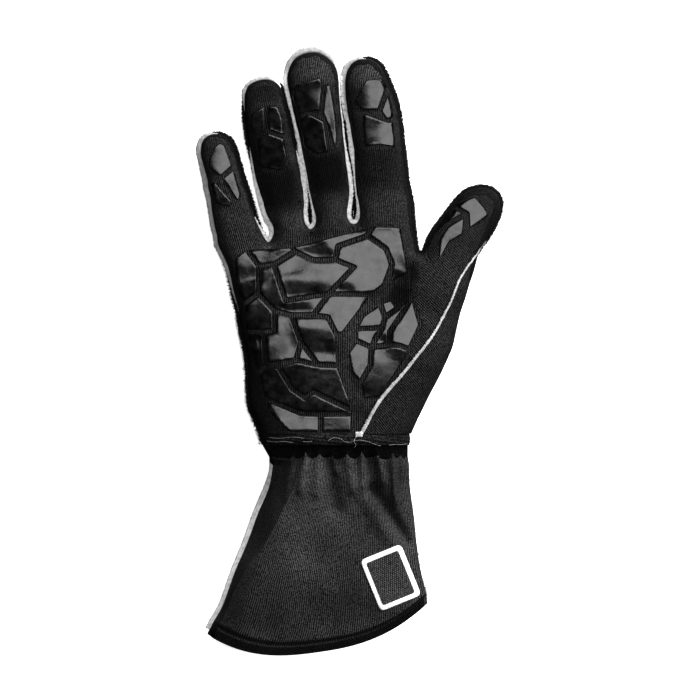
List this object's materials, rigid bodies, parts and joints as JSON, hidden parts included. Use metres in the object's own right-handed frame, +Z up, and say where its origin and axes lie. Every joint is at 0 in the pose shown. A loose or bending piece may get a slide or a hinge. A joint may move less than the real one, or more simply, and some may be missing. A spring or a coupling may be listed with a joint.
{
  "type": "racing glove",
  "caption": "Right-hand gauntlet racing glove lying palm up: black knit with outside seams, polygon silicone grip on palm and fingertips, gathered wrist, flared hemmed cuff",
  "frame": {"origin": "centre of the glove's bounding box, on the surface that it lies on", "axes": "+Z up out of the palm, +Y to the fingertips, +X to the thumb's side"},
  "size_m": [0.1664, 0.3305, 0.0372],
  "materials": {
    "knit": "matt black rib knit",
    "dark_seam": "matt black overlocked edge",
    "light_seam": "off-white overlock thread and tape",
    "elastic": "black gathered elastic knit",
    "silicone": "glossy dark grey printed silicone",
    "patch_cloth": "woven black cloth"
  },
  "bodies": {
    "root": {"palm_panel": "knit", "thumb_panel": "knit", "back_panel": "knit", "finger_seam_front": "dark_seam", "finger_seam_back": "light_seam", "thumb_seam": "light_seam", "wrist_seam": "dark_seam", "wrist_elastic": "elastic", "cuff_front": "knit", "cuff_back": "knit", "hem_band": "knit", "cuff_piping": "light_seam", "patch_border": "light_seam", "patch_field": "patch_cloth", "palm_grip_1": "silicone", "palm_grip_2": "silicone", "palm_grip_3": "silicone", "palm_grip_4": "silicone", "palm_grip_5": "silicone", "palm_grip_6": "silicone", "palm_grip_7": "silicone", "palm_grip_8": "silicone", "palm_grip_9": "silicone", "palm_grip_10": "silicone", "palm_grip_11": "silicone", "palm_grip_12": "silicone", "palm_grip_13": "silicone", "palm_grip_14": "silicone", "palm_grip_15": "silicone", "palm_grip_16": "silicone", "palm_grip_17": "silicone", "thumb_ball_grip_1": "silicone", "thumb_ball_grip_2": "silicone", "thumb_ball_grip_3": "silicone", "thumb_ball_grip_4": "silicone", "thumb_ball_grip_5": "silicone", "thumb_ball_grip_6": "silicone", "thumb_ball_grip_7": "silicone", "index_grip_1": "silicone", "index_grip_2": "silicone", "index_grip_3": "silicone", "middle_grip_1": "silicone", "middle_grip_2": "silicone", "middle_grip_3": "silicone", "ring_grip_1": "silicone", "ring_grip_2": "silicone", "ring_grip_3": "silicone", "little_grip_1": "silicone", "little_grip_2": "silicone", "little_grip_3": "silicone", "thumb_grip_1": "silicone", "thumb_grip_2": "silicone", "thumb_grip_3": "silicone"}
  },
  "joints": []
}
